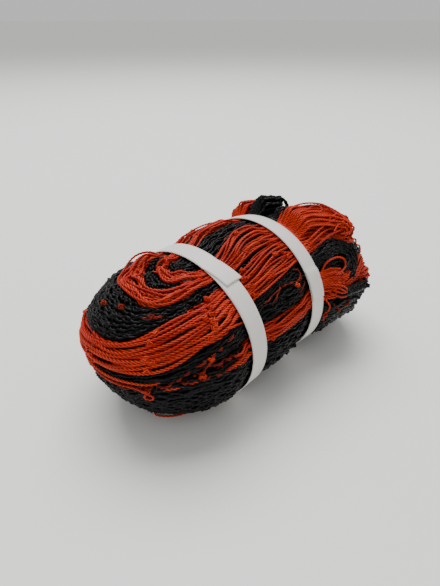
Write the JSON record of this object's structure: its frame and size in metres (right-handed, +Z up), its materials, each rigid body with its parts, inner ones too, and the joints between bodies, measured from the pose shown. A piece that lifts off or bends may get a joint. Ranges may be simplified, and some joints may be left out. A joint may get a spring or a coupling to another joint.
{
  "type": "cargo net",
  "caption": "Knotted cord net in orange and black stripes, folded into a hank and held by two flat straps, for covering or holding loads.",
  "frame": {"origin": "centre of the bounding box, on the surface that the hank rests on", "axes": "+X along the hank from its smooth turn to its loose bights, +Y to the back, +Z up"},
  "size_m": [0.3043, 0.1538, 0.1395],
  "materials": {
    "net_orange": "twisted cord, slight sheen",
    "net_black": "twisted cord, slight sheen",
    "strap_white": "matte, fine lengthwise lines"
  },
  "bodies": {
    "root": {"net_hank": "net_orange", "strap_near": "strap_white", "strap_far": "strap_white"}
  },
  "joints": []
}
